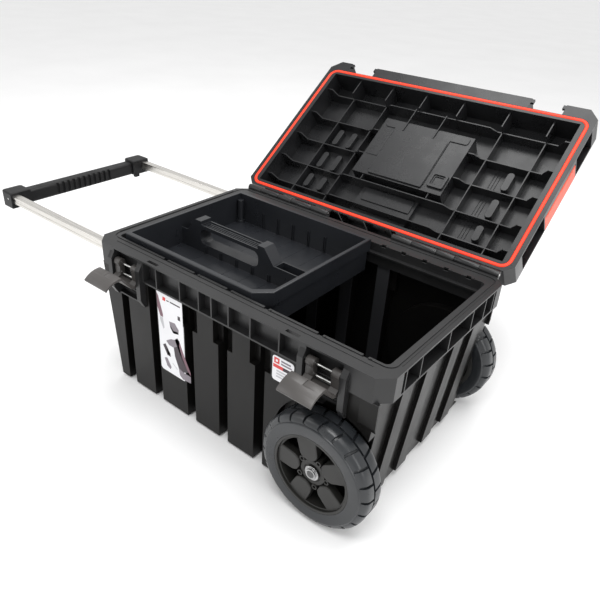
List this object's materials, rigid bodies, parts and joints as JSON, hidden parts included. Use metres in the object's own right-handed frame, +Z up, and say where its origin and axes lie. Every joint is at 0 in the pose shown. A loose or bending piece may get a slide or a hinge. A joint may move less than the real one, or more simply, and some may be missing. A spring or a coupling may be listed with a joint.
{
  "type": "rolling tool box",
  "caption": "Deep plastic tool box on side wheels with a pull-out handle, hinged lid with seal, front latches and a lift-out tray.",
  "frame": {"origin": "centre of the underside of the middle runner, on the floor, midway between the ends and sides of the rim", "axes": "+X along the box towards the wheels, +Y across it towards the lid hinge, +Z up"},
  "size_m": [0.948, 0.7809, 0.5093],
  "materials": {
    "tub_plastic": "moulded polypropylene, slight gloss",
    "lid_plastic": "moulded polypropylene, slight gloss",
    "tray_plastic": "moulded polypropylene, slight gloss",
    "seal_rubber": "moulded cord, satin",
    "clip_plastic": "moulded, satin",
    "lever_plastic": "moulded, satin",
    "grip_plastic": "moulded, fine texture",
    "guide_plastic": "moulded acetal",
    "bar_aluminium": "extruded, satin anodised",
    "screw_steel": "zinc plated",
    "pin_steel": "zinc plated",
    "axle_steel": "zinc plated",
    "nut_steel": "bright zinc",
    "washer_nylon": "moulded",
    "tyre_rubber": "moulded tread, slight sheen",
    "hub_plastic": "moulded",
    "label_film": "printed film, satin"
  },
  "bodies": {
    "box": {"tub": "tub_plastic", "tub_rim": "tub_plastic", "axle_front": "axle_steel", "axle_rear": "axle_steel", "thrust_washer_front": "washer_nylon", "thrust_washer_rear": "washer_nylon", "push_nut_front": "nut_steel", "push_nut_rear": "nut_steel", "bar_guide_front": "guide_plastic", "bar_guide_rear": "guide_plastic", "hinge_pin_left": "pin_steel", "hinge_pin_right": "pin_steel", "latch_pin_left": "pin_steel", "latch_pin_right": "pin_steel", "large_label": "label_film", "small_label": "label_film"},
    "lid": {"lid": "lid_plastic", "lid_seal": "seal_rubber", "side_clip_pin_left": "pin_steel", "side_clip_pin_right": "pin_steel"},
    "side_clip_left": {"side_clip_left": "clip_plastic"},
    "side_clip_right": {"side_clip_right": "clip_plastic"},
    "latch_left": {"latch_lever_left": "lever_plastic", "latch_bar_left": "pin_steel"},
    "latch_right": {"latch_lever_right": "lever_plastic", "latch_bar_right": "pin_steel"},
    "handle": {"handle_bar_front": "bar_aluminium", "handle_bar_rear": "bar_aluminium", "bar_slider_front": "guide_plastic", "bar_slider_rear": "guide_plastic", "grip_end_front": "grip_plastic", "grip_end_rear": "grip_plastic", "handle_grip": "grip_plastic", "handle_screws": "screw_steel"},
    "wheel_front": {"tyre_front": "tyre_rubber", "wheel_hub_front": "hub_plastic"},
    "wheel_rear": {"tyre_rear": "tyre_rubber", "wheel_hub_rear": "hub_plastic"},
    "tray": {"tray": "tray_plastic"}
  },
  "joints": [
    {"name": "lid_hinge", "type": "hinge", "parent": "box", "child": "lid", "pos_m": [0, 0.194, 0.2835], "axis": [-1, 0, 0], "range_deg": [-143.5, 0]},
    {"name": "handle_slide", "type": "slide", "parent": "box", "child": "handle", "axis": [-1, 0, 0], "range_m": [-0.3, 0]},
    {"name": "tray_lift", "type": "slide", "parent": "box", "child": "tray", "axis": [0, 0, 1], "range_m": [0, 0.2]},
    {"name": "wheel_front_spin", "type": "hinge", "parent": "box", "child": "wheel_front", "pos_m": [0.217, -0.19, 0.095], "axis": [0, 1, 0], "continuous": true},
    {"name": "wheel_rear_spin", "type": "hinge", "parent": "box", "child": "wheel_rear", "pos_m": [0.217, 0.19, 0.095], "axis": [0, 1, 0], "continuous": true},
    {"name": "latch_left_hinge", "type": "hinge", "parent": "box", "child": "latch_left", "pos_m": [-0.216, -0.184, 0.257], "axis": [1, 0, 0], "range_deg": [-90, 0]},
    {"name": "latch_right_hinge", "type": "hinge", "parent": "box", "child": "latch_right", "pos_m": [0.201, -0.184, 0.257], "axis": [1, 0, 0], "range_deg": [-90, 0]},
    {"name": "side_clip_left_hinge", "type": "hinge", "parent": "lid", "child": "side_clip_left", "pos_m": [-0.2957, 0.36658, 0.38984], "axis": [0, 0.8044, 0.5941], "range_deg": [0, 90]},
    {"name": "side_clip_right_hinge", "type": "hinge", "parent": "lid", "child": "side_clip_right", "pos_m": [0.2957, 0.36658, 0.38984], "axis": [0, -0.8044, -0.5941], "range_deg": [0, 90]}
  ]
}
